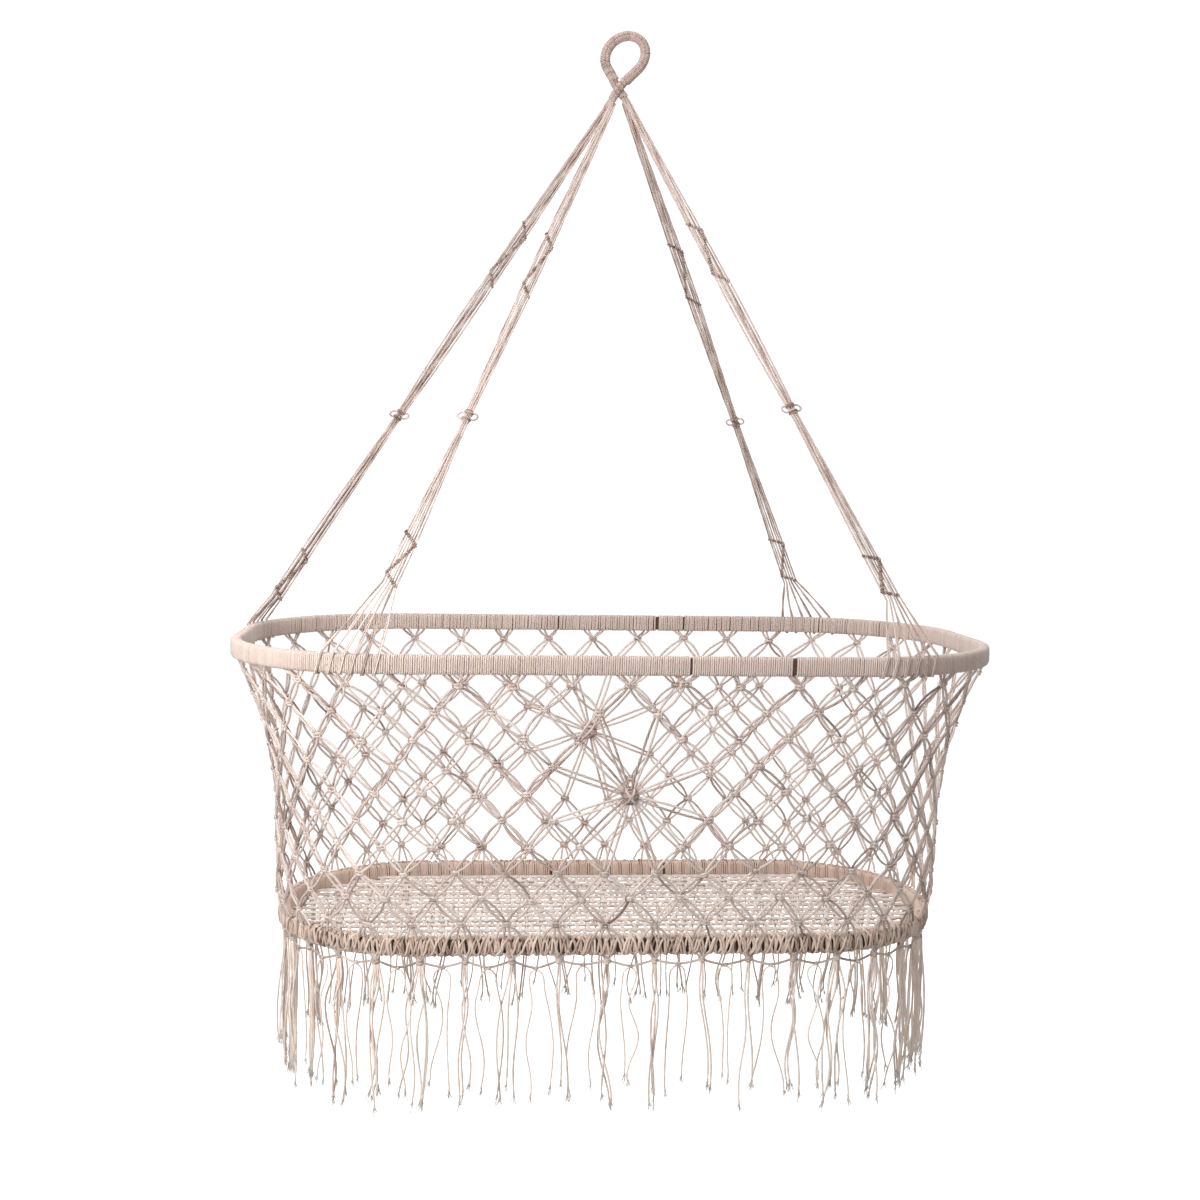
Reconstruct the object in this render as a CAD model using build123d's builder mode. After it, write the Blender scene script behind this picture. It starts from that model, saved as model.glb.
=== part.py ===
from build123d import *
import os
from math import asin, cos, pi, radians, sin

os.makedirs("parts", exist_ok=True)

# A hanging macrame cradle. The origin is the hook's contact point at the inner top of the hanging
# loop. +X runs along the cradle, +Y to its back and +Z up. All sizes are in millimetres.

# ---- Driving dimensions ----
rope_diameter = 12.5
rope_core_diameter = 8.5
eye_width = 35
crossing_drop = 55  # hook contact down to the crossing of the loop's limbs
crossing_knot_radius = 8.7
limb_start = 11  # distance from the crossing at which the limbs begin
whipping_end = 24
limb_angle = 30  # each lower limb's angle from the vertical

top_length, top_width, top_corner = 900, 510, 200
top_height, top_depth = 22, 13
top_level = -722  # mid height of the top hoop
bottom_length, bottom_width, bottom_corner = 796, 366, 176
bottom_height, bottom_depth = 20, 12
bottom_level = -1050
wrap_thickness = 2
hoop_fillet = 3.5

net_wall = 3
net_clearance = 2  # free gap between the bottom hoop and the net that it can rise inside
lattice_columns = 40
column_crowding = 15.8  # how far round the rim the columns shift towards the two ends
lattice_skew = 14  # how far round the rim the net's lower end is turned

base_thickness = 4
base_rise = 1.5  # the base's underside above the bottom hoop's underside
fringe_length = 175
fringe_thickness = 5
running_gap = 4

sling_neck_radius = 3.0
sling_upper_radius = 4.2
sling_lower_radius = 7.0
knot_band_width = 15
knot_band_thickness = 8
knot_band_corner = 3.5
fan_pairs = 6
fan_pitch = 12.5
fan_cord_radius = 1.2
fan_bite = 0.8  # how far each fan cord runs into the winding on the hoop

crossing = Vector(0, 0, -crossing_drop)


# ---- Shared geometry ----
def rim_point(distance, length, width, corner):
    """Point on a rounded rectangle, and its tangent, counted from the front middle towards +X."""
    straight_x = length / 2 - corner
    straight_y = width / 2 - corner
    quarter = corner * pi / 2
    perimeter = 4 * (straight_x + straight_y + quarter)
    d = distance % perimeter
    turn = 1
    if d > perimeter / 2:
        d = perimeter - d
        turn = -1
    if d <= straight_x:
        x, y, heading = d, -width / 2, 0
    elif d <= straight_x + quarter:
        angle = (d - straight_x) / corner
        x = straight_x + corner * sin(angle)
        y = -straight_y - corner * cos(angle)
        heading = angle
    elif d <= straight_x + quarter + 2 * straight_y:
        x = length / 2
        y = d - straight_x - quarter - straight_y
        heading = pi / 2
    elif d <= straight_x + 2 * quarter + 2 * straight_y:
        angle = (d - straight_x - quarter - 2 * straight_y) / corner
        x = straight_x + corner * cos(angle)
        y = straight_y + corner * sin(angle)
        heading = pi / 2 + angle
    else:
        x, y, heading = perimeter / 2 - d, width / 2, pi
    return Vector(turn * x, y, 0), Vector(cos(heading), turn * sin(heading), 0)


def rim_length(length, width, corner):
    return 2 * (length + width - 4 * corner) + 2 * pi * corner


def hoop_ring(length, width, corner, depth, height, level, fillet_radius):
    """An oval ring with rounded edges, given by its outer size."""
    with BuildPart() as ring:
        with BuildSketch(Plane.XY.offset(level - height / 2)):
            RectangleRounded(length, width, corner)
            RectangleRounded(length - 2 * depth, width - 2 * depth, corner - depth, mode=Mode.SUBTRACT)
        extrude(amount=height)
        flat_edges = ring.faces().filter_by(Axis.Z).edges()
        fillet(flat_edges, radius=fillet_radius)
    return ring


def finish(builder, name):
    builder.part.label = name
    export_step(builder.part, f"parts/{name}.step")


# ---- Hanging loop ----
loop_radius = (eye_width + rope_diameter) / 2
loop_centre = rope_diameter / 2 - loop_radius
centre_to_crossing = crossing_drop + loop_centre
limb_spread = asin(loop_radius / centre_to_crossing)
tangent_length = (centre_to_crossing**2 - loop_radius**2) ** 0.5


def limb_point(side, distance):
    x = side * distance * sin(limb_spread)
    return (x, -crossing_drop + distance * cos(limb_spread))


with BuildLine(Plane.XZ) as loop_path:
    Line(limb_point(1, limb_start), limb_point(1, tangent_length))
    ThreePointArc(
        limb_point(1, tangent_length), (0, loop_centre + loop_radius), limb_point(-1, tangent_length)
    )
    Line(limb_point(-1, tangent_length), limb_point(-1, limb_start))

limb_plane = Plane(origin=loop_path.line @ 0, z_dir=loop_path.line % 0)

with BuildPart() as loop_core:
    with BuildSketch(limb_plane):
        Circle(rope_core_diameter / 2)
    sweep(path=loop_path.line)
finish(loop_core, "loop_core")

with BuildPart() as loop_wrapping:
    with BuildSketch(limb_plane):
        Circle(rope_diameter / 2)
        Circle(rope_core_diameter / 2, mode=Mode.SUBTRACT)
    sweep(path=loop_path.line)
finish(loop_wrapping, "loop_wrapping")

# ---- Neck: the bound crossing and the two whipped limbs below it ----
with BuildPart(Plane(origin=crossing)) as crossing_knot:
    Sphere(crossing_knot_radius)
finish(crossing_knot, "crossing_knot")


def limb_direction(side):
    return Vector(side * sin(radians(limb_angle)), 0, -cos(radians(limb_angle)))


for side, side_name in ((-1, "left"), (1, "right")):
    direction = limb_direction(side)
    with BuildPart() as whipping:
        with BuildSketch(Plane(origin=crossing + direction * limb_start, z_dir=direction)):
            Circle(rope_core_diameter / 2)
        with BuildSketch(Plane(origin=crossing + direction * whipping_end, z_dir=direction)):
            Circle(rope_diameter / 2)
        loft()
    finish(whipping, f"{side_name}_neck_whipping")

# ---- Hoops: a bent wooden ring, and the cord wound closely round it ----
top_middle = (top_length - top_depth, top_width - top_depth, top_corner - top_depth / 2)
top_perimeter = rim_length(*top_middle)

top_core = hoop_ring(
    top_length - 2 * wrap_thickness,
    top_width - 2 * wrap_thickness,
    top_corner - wrap_thickness,
    top_depth - 2 * wrap_thickness,
    top_height - 2 * wrap_thickness,
    top_level,
    hoop_fillet - wrap_thickness,
)
finish(top_core, "top_hoop_core")

# Gaps in the winding, as (X, front or back, gap width), where the wood shows through.
top_gaps = ((180, -1, 3), (67, -1, 1.5), (-49, 1, 1.5), (88, 1, 3.5), (125, 1, 1.5))
with BuildPart() as top_wrapping:
    add(
        hoop_ring(
            top_length, top_width, top_corner, top_depth, top_height, top_level, hoop_fillet
        ).part
    )
    add(top_core.part, mode=Mode.SUBTRACT)
    for gap_x, gap_side, gap_width in top_gaps:
        with Locations((gap_x, gap_side * top_middle[1] / 2, top_level)):
            Box(gap_width, 2 * top_depth, 2 * top_height, mode=Mode.SUBTRACT)
finish(top_wrapping, "top_hoop_wrapping")

bottom_middle = (
    bottom_length - bottom_depth,
    bottom_width - bottom_depth,
    bottom_corner - bottom_depth / 2,
)
bottom_perimeter = rim_length(*bottom_middle)

bottom_core = hoop_ring(
    bottom_length - 2 * wrap_thickness,
    bottom_width - 2 * wrap_thickness,
    bottom_corner - wrap_thickness,
    bottom_depth - 2 * wrap_thickness,
    bottom_height - 2 * wrap_thickness,
    bottom_level,
    hoop_fillet - wrap_thickness,
)
finish(bottom_core, "bottom_hoop_core")

bottom_gaps = ((-60, 1, 2), (95, 1, 2), (-140, -1, 1.5), (150, -1, 1.5))
with BuildPart() as bottom_wrapping:
    add(
        hoop_ring(
            bottom_length, bottom_width, bottom_corner, bottom_depth, bottom_height, bottom_level,
            hoop_fillet,
        ).part
    )
    add(bottom_core.part, mode=Mode.SUBTRACT)
    for gap_x, gap_side, gap_width in bottom_gaps:
        with Locations((gap_x, gap_side * bottom_middle[1] / 2, bottom_level)):
            Box(gap_width, 2 * bottom_depth, 2 * bottom_height, mode=Mode.SUBTRACT)
finish(bottom_wrapping, "bottom_hoop_wrapping")

# ---- Side net: one thin wall that narrows from the top hoop to a waist above the bottom hoop ----
net_top = top_level - top_height / 2
net_bottom = bottom_level
net_top_length = top_length - top_depth + net_wall
net_top_width = top_width - top_depth + net_wall
net_top_corner = top_corner - (top_depth - net_wall) / 2
net_growth = 2 * (net_clearance + net_wall)
net_base_length = bottom_length + net_growth
net_base_width = bottom_width + net_growth
net_base_corner = bottom_corner + net_growth / 2
waist_drop = 0.55  # share of the net's height at which its two ends stop drawing in
net_sections = (0, 0.2, 0.4, 0.6, 1)


def net_section(drop, inset):
    """Outer length, width and corner radius at a share of the net's height, less an inset."""
    ends = (1 - min(drop / waist_drop, 1)) ** 2
    sides = 1 - drop
    length = net_base_length + (net_top_length - net_base_length) * ends
    width = net_base_width + (net_top_width - net_base_width) * sides
    corner = net_base_corner + (net_top_corner - net_base_corner) * sides
    return length - 2 * inset, width - 2 * inset, corner - inset


with BuildPart() as side_net:
    for inset, mode in ((0, Mode.ADD), (net_wall, Mode.SUBTRACT)):
        for drop in net_sections:
            with BuildSketch(Plane.XY.offset(net_top + (net_bottom - net_top) * drop)):
                RectangleRounded(*net_section(drop, inset))
        loft(ruled=True, mode=mode)
finish(side_net, "side_net")

# The button knot at the middle of the starburst on each long side.
rosette_drop = 0.43
rosette_radius = 7.5
rosette_depth = 9
rosette_level = net_top + (net_bottom - net_top) * rosette_drop
rosette_reach = net_section(rosette_drop, net_wall / 2)[1] / 2
for side, side_name in ((-1, "front"), (1, "back")):
    with BuildPart() as rosette:
        with BuildSketch(Plane(origin=(0, side * rosette_reach, rosette_level), z_dir=(0, 1, 0))):
            Circle(rosette_radius)
        extrude(amount=rosette_depth / 2, both=True)
        fillet(rosette.edges().filter_by(GeomType.CIRCLE), radius=rosette_depth / 3)
    finish(rosette, f"{side_name}_rosette")

# ---- Slings ----
# Each sling has the middle of its fan on the top hoop, counted round the rim from the front middle,
# how far past it the straight part points, how much nearer the middle it starts than the limb, and
# the shares of its length at which its upper knots, bow knot and lower knots sit.
half_rim = top_perimeter / 2
slings = {
    "front_left": (-1, -1, -298, 6, 5, (0.255, 0.370), 0.593, (0.800, 0.886)),
    "front_right": (1, -1, 314, 16, 0, (0.223, 0.339), 0.570, (0.826, 0.902)),
    "back_right": (1, 1, half_rim - 296, 5, 3, (0.234, 0.354), 0.580, (0.823, 0.922)),
    "back_left": (-1, 1, half_rim + 505, 5, 0, (0.219, 0.331), 0.584, (0.855, 0.950)),
}
neck_offset = 3.4
neck_gap = 2
inset_drop = 0.7  # a sling that starts nearer the middle starts this much of the way lower too
bow_half_length = 5
picot_radius = 3.2
picot_cord_radius = 1.1
bow_wrap_thickness = 1.5
picot_bite = 0.5  # how far each picot runs into the knot


def sling_frame(side, face, landing, inset):
    """The sling's start and end, its direction, and the ways its upper and lower knots lie flat."""
    start = crossing + limb_direction(side) * (whipping_end + neck_gap + inset_drop * inset)
    start += Vector(-side * inset, face * neck_offset, 0)
    rim, tangent = rim_point(landing, *top_middle)
    end = Vector(rim.X, rim.Y, top_level + top_height / 2)
    direction = (end - start).normalized()
    forward = Vector(-face, 0, 0)
    facing = (forward - direction * forward.dot(direction)).normalized()
    following = (tangent - direction * tangent.dot(direction)).normalized()
    return start, end, direction, facing, (facing + following).normalized()


def cord_bundle(start, end, start_radius, end_radius):
    """A straight bundle of cords, added to the part that is open."""
    run = end - start
    base = (Align.CENTER, Align.CENTER, Align.MIN)
    with Locations(Plane(origin=start, z_dir=run).location):
        if start_radius == end_radius:
            Cylinder(start_radius, run.length, align=base)
        else:
            Cone(start_radius, end_radius, run.length, align=base)


def knot_band(start, end, direction, flat):
    """A flat band of half hitches, with thinned ends where the cords enter it."""
    with BuildPart() as band:
        with BuildSketch(Plane(origin=start, x_dir=flat, z_dir=direction)):
            RectangleRounded(knot_band_width, knot_band_thickness, knot_band_corner)
        extrude(amount=(end - start).length)
    return band


for name, (side, face, landing, aim, inset, upper, bow, lower) in slings.items():
    start, end, direction, upper_flat, lower_flat = sling_frame(side, face, landing + aim, inset)
    reach = (end - start).length
    upper_start = start + direction * reach * upper[0]
    upper_end = start + direction * reach * upper[1]
    bow_middle = start + direction * reach * bow
    lower_start = start + direction * reach * lower[0]
    lower_end = start + direction * reach * lower[1]

    with BuildPart() as cords:
        cord_bundle(start, upper_start, sling_neck_radius, sling_upper_radius)
        cord_bundle(
            upper_end, bow_middle - direction * bow_half_length, sling_upper_radius, sling_upper_radius
        )
        cord_bundle(
            bow_middle + direction * bow_half_length, lower_start, sling_upper_radius, sling_lower_radius
        )
        for pair in range(fan_pairs):
            count = pair - (fan_pairs - 1) / 2
            foot, _ = rim_point(landing + count * fan_pitch, *top_middle)
            fan_end = Vector(foot.X, foot.Y, top_level + top_height / 2 - fan_bite)
            fan_start = lower_end + lower_flat * count * knot_band_width / fan_pairs
            ray = (fan_end - fan_start).normalized()
            cord_bundle(fan_start + ray * fan_cord_radius, fan_end, fan_cord_radius, fan_cord_radius)
    finish(cords, f"sling_{name}_cords")

    finish(knot_band(upper_start, upper_end, direction, upper_flat), f"sling_{name}_upper_knots")
    finish(knot_band(lower_start, lower_end, direction, lower_flat), f"sling_{name}_lower_knots")

    bow_plane = Plane(origin=bow_middle, x_dir=upper_flat, z_dir=direction)
    with BuildPart(bow_plane) as bow_knot:
        Cylinder(sling_upper_radius + bow_wrap_thickness, 2 * bow_half_length)
        picot_reach = sling_upper_radius + bow_wrap_thickness - picot_bite + picot_radius
        with Locations((picot_reach, 0, 0), (-picot_reach, 0, 0)):
            Torus(picot_radius, picot_cord_radius, rotation=(90, 0, 0))
    finish(bow_knot, f"sling_{name}_bow_knot")

# ---- Woven base, held inside the bottom hoop ----
with BuildPart() as base_net:
    with BuildSketch(Plane.XY.offset(bottom_level - bottom_height / 2 + base_rise)):
        RectangleRounded(
            bottom_length - 2 * bottom_depth, bottom_width - 2 * bottom_depth,
            bottom_corner - bottom_depth,
        )
    extrude(amount=base_thickness)
finish(base_net, "base_net")

# ---- Gather knots under the bottom hoop, and the garland cord that joins them ----
gather_height = 13
gather_size = (9, 7)
gather_corner = 2.5
hoop_underside = bottom_level - bottom_height / 2
gather_bottom = hoop_underside - gather_height
with BuildPart() as gather_knots:
    for column in range(lattice_columns):
        share = (column + 0.5) / lattice_columns
        distance = share * bottom_perimeter + column_crowding * sin(4 * pi * share) + lattice_skew
        point, tangent = rim_point(distance, *bottom_middle)
        origin = Vector(point.X, point.Y, gather_bottom)
        with BuildSketch(Plane(origin=origin, x_dir=tangent, z_dir=(0, 0, 1))):
            RectangleRounded(*gather_size, gather_corner)
        extrude(amount=gather_height)
finish(gather_knots, "gather_knots")

garland_diameter = 3
garland_fillet = 1.2
garland = hoop_ring(
    bottom_middle[0] + garland_diameter,
    bottom_middle[1] + garland_diameter,
    bottom_middle[2] + garland_diameter / 2,
    garland_diameter,
    garland_diameter,
    hoop_underside - gather_height / 2,
    garland_fillet,
)
finish(garland, "garland_cord")

# ---- Fringe: plain curtains along the straight sides, the two ends and the four corners ----
side_run = 2 * (bottom_middle[0] / 2 - bottom_middle[2])
end_arc = 18  # degrees of each corner that the end curtains take in
end_run = 2 * (bottom_middle[1] / 2 - bottom_middle[2]) + 2 * bottom_middle[2] * sin(radians(end_arc))
far = 2 * bottom_length


def fringe_ring():
    """The plan of the whole fringe, drawn in the sketch that is open."""
    outer = fringe_thickness
    RectangleRounded(bottom_middle[0] + outer, bottom_middle[1] + outer, bottom_middle[2] + outer / 2)
    RectangleRounded(
        bottom_middle[0] - outer, bottom_middle[1] - outer, bottom_middle[2] - outer / 2,
        mode=Mode.SUBTRACT,
    )


fringe_top = gather_bottom - running_gap
fringe_plane = Plane.XY.offset(fringe_top - fringe_length)
curtains = {
    "front": ((0, -bottom_width / 2), (side_run, bottom_width / 2)),
    "back": ((0, bottom_width / 2), (side_run, bottom_width / 2)),
    "left": ((-bottom_length / 2, 0), (bottom_length / 4, end_run)),
    "right": ((bottom_length / 2, 0), (bottom_length / 4, end_run)),
}
for name, (centre, size) in curtains.items():
    with BuildPart() as curtain:
        with BuildSketch(fringe_plane):
            fringe_ring()
            with Locations(centre):
                Rectangle(*size, mode=Mode.INTERSECT)
        extrude(amount=fringe_length)
    finish(curtain, f"fringe_{name}")

with BuildPart() as fringe_corners:
    with BuildSketch(fringe_plane):
        fringe_ring()
        Rectangle(side_run + 2 * running_gap, far, mode=Mode.SUBTRACT)
        Rectangle(far, end_run + 2 * running_gap, mode=Mode.SUBTRACT)
    extrude(amount=fringe_length + running_gap)
finish(fringe_corners, "fringe_corners")
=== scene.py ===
import bpy
import numpy as np
from math import asin, cos, pi, radians, sin, sqrt
from mathutils import Matrix, Vector


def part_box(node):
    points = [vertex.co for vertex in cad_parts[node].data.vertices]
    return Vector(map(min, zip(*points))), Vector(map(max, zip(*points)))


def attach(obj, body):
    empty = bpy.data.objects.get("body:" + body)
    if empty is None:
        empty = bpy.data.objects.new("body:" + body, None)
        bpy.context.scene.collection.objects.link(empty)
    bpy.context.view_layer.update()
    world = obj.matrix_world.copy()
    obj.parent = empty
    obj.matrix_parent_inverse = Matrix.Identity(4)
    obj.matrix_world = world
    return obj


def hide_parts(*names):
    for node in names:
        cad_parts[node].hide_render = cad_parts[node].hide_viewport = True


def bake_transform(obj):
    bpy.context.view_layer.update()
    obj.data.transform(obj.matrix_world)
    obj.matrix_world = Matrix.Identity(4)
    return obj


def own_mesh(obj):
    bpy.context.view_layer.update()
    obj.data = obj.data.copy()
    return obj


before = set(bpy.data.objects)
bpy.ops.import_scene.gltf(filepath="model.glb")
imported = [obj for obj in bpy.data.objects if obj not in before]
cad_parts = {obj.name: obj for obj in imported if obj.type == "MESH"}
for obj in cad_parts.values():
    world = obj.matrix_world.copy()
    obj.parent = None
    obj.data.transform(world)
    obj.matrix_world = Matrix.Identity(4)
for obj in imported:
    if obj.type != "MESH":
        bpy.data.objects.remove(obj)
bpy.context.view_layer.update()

scene = bpy.context.scene

# A hanging macrame cradle, in metres, in the frame of the CAD model: the origin is the hook's
# contact point, +X runs along the cradle, +Y to its back and +Z up.

# ---- Sizes that the frame gives ----
top_low, top_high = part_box("top_hoop_wrapping")
bottom_low, bottom_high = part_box("bottom_hoop_wrapping")
base_low, base_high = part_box("base_net")
gather_low, gather_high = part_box("gather_knots")
fringe_low, fringe_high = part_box("fringe_front")
left_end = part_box("fringe_left")
net_low, net_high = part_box("side_net")
rosette_low, rosette_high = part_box("front_rosette")

top_corner, top_depth = 0.200, 0.013  # the hoops' outer corners, and their depths across the rim
bottom_corner, bottom_depth = 0.176, 0.012
top_length, top_width = top_high[0] - top_low[0], top_high[1] - top_low[1]
bottom_length, bottom_width = bottom_high[0] - bottom_low[0], bottom_high[1] - bottom_low[1]
top_middle = (top_length - top_depth, top_width - top_depth, top_corner - top_depth / 2)
bottom_middle = (
    bottom_length - bottom_depth, bottom_width - bottom_depth, bottom_corner - bottom_depth / 2,
)
net_top, net_bottom = net_high[2], net_low[2]
net_height = net_top - net_bottom

# ---- Cord sizes and the layout of the knotting ----
columns = 40
rows = 10
first_drop, row_drop = 0.036, 0.0973
end_crowding = (0.0048, 0.0158)  # columns crowd towards the two ends, at the top and the bottom
net_skew = 0.014  # the net's lower end is turned this far round the rim
end_reach = 0.55  # the ends have drawn in fully at this share of the net's height
cord_radius = 0.00141
wrap_radius, wrap_pitch = 0.00118, 0.00238  # the winding of the hoops
star_row, star_columns = 5, (0, 20)

rng = np.random.default_rng(20)


# ---- Plan curves ----
def rim(distance, length, width, corner):
    """Points on a rounded rectangle and its direction, counted from the front middle towards +X."""
    distance, length, width, corner = np.broadcast_arrays(distance, length, width, corner)
    run_x, run_y = length / 2 - corner, width / 2 - corner
    quarter = corner * pi / 2
    total = 4 * (run_x + run_y + quarter)
    d = np.mod(distance, total)
    hand = np.where(d > total / 2, -1.0, 1.0)
    d = np.where(d > total / 2, total - d, d)
    first, second = (d - run_x) / corner, (d - run_x - quarter - 2 * run_y) / corner
    zones = [d <= run_x, d <= run_x + quarter, d <= run_x + quarter + 2 * run_y,
             d <= run_x + 2 * quarter + 2 * run_y]
    x = np.select(zones, [d, run_x + corner * np.sin(first), length / 2,
                          run_x + corner * np.cos(second)], total / 2 - d)
    y = np.select(zones, [-width / 2, -run_y - corner * np.cos(first), d - run_x - quarter - run_y,
                          run_y + corner * np.sin(second)], width / 2)
    heading = np.select(zones, [0 * d, first, 0 * d + pi / 2, pi / 2 + second], pi)
    return hand * x, y, np.cos(heading), hand * np.sin(heading)


def rim_length(length, width, corner):
    return 2 * (length + width - 4 * corner) + 2 * pi * corner


def at(x, y, z):
    return np.stack(np.broadcast_arrays(x, y, z), -1).astype(float)


upwards = np.array([0, 0, 1.0])


def unit(v):
    return v / np.maximum(np.linalg.norm(v, axis=-1, keepdims=True), 1e-12)


def rim_frame(distance, plan, z):
    """Points on a hoop's middle line, with the directions along it and out of it."""
    x, y, along_x, along_y = rim(distance, *plan)
    return at(x, y, z), at(along_x, along_y, 0 * x), at(along_y, -along_x, 0 * x)


net_growth = 0.007  # the net hangs just outside the bottom hoop
net_plan_bottom = (
    bottom_length + net_growth, bottom_width + net_growth, bottom_corner + net_growth / 2,
)


def net_plan(drop):
    """The net's plan at a share of its height: the ends draw in quickly, the sides evenly."""
    ends = (1 - np.minimum(drop / end_reach, 1)) ** 2
    sides = 1 - drop
    return tuple(
        low + (top - low) * share
        for low, top, share in zip(net_plan_bottom, top_middle, (ends, sides, sides))
    )


def round_net(column, drop):
    """Distance round the rim of a column of the lattice at a share of the net's height."""
    share = column / columns
    crowding = end_crowding[0] + (end_crowding[1] - end_crowding[0]) * drop
    return share * rim_length(*net_plan(drop)) + crowding * np.sin(4 * pi * share) + net_skew * drop


def net_frame(column, drop, shift=0.0):
    """Points on the net, with the directions along, down and out of it."""
    column, drop, shift = np.broadcast_arrays(
        np.asarray(column, float), np.asarray(drop, float), shift
    )
    x, y, along_x, along_y = rim(round_net(column, drop) + shift, *net_plan(drop))
    lower = np.minimum(drop + 0.05, 1.02)
    x2, y2, _, _ = rim(round_net(column, lower) + shift, *net_plan(lower))
    point = at(x, y, net_top - net_height * drop)
    along = at(along_x, along_y, 0 * x)
    down = unit(at(x2, y2, net_top - net_height * lower) - point)
    return point, along, down, unit(np.cross(down, along))


# ---- Cords as meshes ----
def bezier(a, b, c, d, count):
    t = np.linspace(0, 1, count)[None, :, None]
    a, b, c, d = (np.asarray(v, float).reshape(-1, 1, 3) for v in (a, b, c, d))
    return (1 - t) ** 3 * a + 3 * (1 - t) ** 2 * t * b + 3 * (1 - t) * t**2 * c + t**3 * d


def smooth_noise(paths, points, size, waves=(1, 4)):
    """Slow random wandering, nought at both ends."""
    t = np.linspace(0, 1, points)
    total = np.zeros((paths, points, 3))
    for k in range(waves[0], waves[1] + 1):
        amplitude = rng.normal(0, size / k, (paths, 1, 3))
        total += amplitude * np.sin(pi * k * t)[None, :, None]
    return total


class Cords:
    """A mesh of many round cords, with a lengthwise UV layer and a tone for each cord: random, plus
    any painted shade or light.
    """

    def __init__(self):
        self.points, self.uv, self.tone, self.quads, self.caps, self.count = [], [], [], [], [], 0

    # tone scatters each cord's tone at random; shade shifts its mean: below nought it paints shade,
    # above nought it paints light.
    def add(self, paths, radius, sides=6, tone=0.16, shade=0.0):
        paths = np.asarray(paths, float)
        if paths.ndim == 2:
            paths = paths[None]
        number, length, _ = paths.shape
        radius = np.broadcast_to(np.asarray(radius, float), (number, length))
        along = unit(np.gradient(paths, axis=1))
        guess = np.where(np.abs(along[:, 0, 2:]) > 0.9, [[1.0, 0, 0]], [[0, 0, 1.0]])
        side = np.empty_like(paths)
        side[:, 0] = unit(guess - (guess * along[:, 0]).sum(-1, keepdims=True) * along[:, 0])
        for i in range(1, length):
            before, now = side[:, i - 1], along[:, i]
            side[:, i] = unit(before - (before * now).sum(-1, keepdims=True) * now)
        other = np.cross(along, side)
        angle = 2 * pi * np.arange(sides) / sides
        ring = (side[:, :, None] * np.cos(angle)[:, None]
                + other[:, :, None] * np.sin(angle)[:, None])
        mesh = paths[:, :, None] + ring * radius[:, :, None, None]
        ends = paths[:, [0, -1]]
        along_length = np.zeros((number, length))
        along_length[:, 1:] = np.cumsum(np.linalg.norm(np.diff(paths, axis=1), axis=-1), axis=1)
        along_length += rng.uniform(0, 1, (number, 1))
        body = self.count + np.arange(number * length * sides).reshape(number, length, sides)
        tips = self.count + number * length * sides + np.arange(number * 2).reshape(number, 2)
        after = np.roll(body, -1, axis=2)
        quad = np.stack([body[:, :-1], after[:, :-1], after[:, 1:], body[:, 1:]], -1)
        u = np.broadcast_to(along_length[:, :, None], (number, length, sides))
        v = np.broadcast_to(np.arange(sides) / sides, (number, length, sides))
        w = v + 1 / sides
        u0, u1, v0, w0 = u[:, :-1], u[:, 1:], v[:, :-1], w[:, :-1]
        quad_uv = [np.stack(uv, -1) for uv in ((u0, v0), (u0, w0), (u1, w0), (u1, v0))]
        tip = np.repeat(tips[:, :, None], sides, axis=2)
        start = np.stack([tip[:, 0], after[:, 0], body[:, 0]], -1)
        finish = np.stack([tip[:, 1], body[:, -1], after[:, -1]], -1)
        self.points += [mesh.reshape(-1, 3), ends.reshape(-1, 3)]
        tones = np.broadcast_to(rng.normal(shade, tone, (number, 1)), (number, length * sides))
        self.tone += [tones.reshape(-1), np.repeat(tones[:, 0], 2)]
        self.quads.append(quad.reshape(-1, 4))
        self.uv.append(np.stack(quad_uv, -2).reshape(-1, 2))
        self.caps += [start.reshape(-1, 3), finish.reshape(-1, 3)]
        self.count += number * length * sides + number * 2
        return self

    def build(self, name, material, slot, *nodes):
        points = np.concatenate(self.points)
        quads, caps = np.concatenate(self.quads), np.concatenate(self.caps)
        corners = np.concatenate([quads.reshape(-1), caps.reshape(-1)])
        starts = np.concatenate(
            [4 * np.arange(len(quads)), 4 * len(quads) + 3 * np.arange(len(caps))]
        )
        mesh = bpy.data.meshes.new(name)
        mesh.vertices.add(len(points))
        mesh.vertices.foreach_set("co", points.astype(np.float32).reshape(-1))
        mesh.loops.add(len(corners))
        mesh.loops.foreach_set("vertex_index", corners.astype(np.int32))
        mesh.polygons.add(len(starts))
        mesh.polygons.foreach_set("loop_start", starts.astype(np.int32))
        mesh.polygons.foreach_set("use_smooth", np.ones(len(starts), bool))
        mesh.update(calc_edges=True)
        layer = mesh.uv_layers.new(name="cord")
        uv = np.zeros((len(corners), 2), np.float32)
        uv[: 4 * len(quads)] = np.concatenate(self.uv)
        layer.data.foreach_set("uv", uv.reshape(-1))
        tone = mesh.attributes.new("tone", "FLOAT", "POINT")
        tone.data.foreach_set("value", np.concatenate(self.tone).astype(np.float32))
        mesh.validate()
        mesh.materials.append(material)
        piece = bpy.data.objects.new(name, mesh)
        scene.collection.objects.link(piece)
        if nodes:
            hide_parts(*nodes)
        return piece


def rounded(angle, power):
    """Cosine and sine of a rounded rectangle: 1 is an ellipse, less is squarer."""
    c, s = np.cos(angle), np.sin(angle)
    return np.sign(c) * np.abs(c) ** power, np.sign(s) * np.abs(s) ** power


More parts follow.
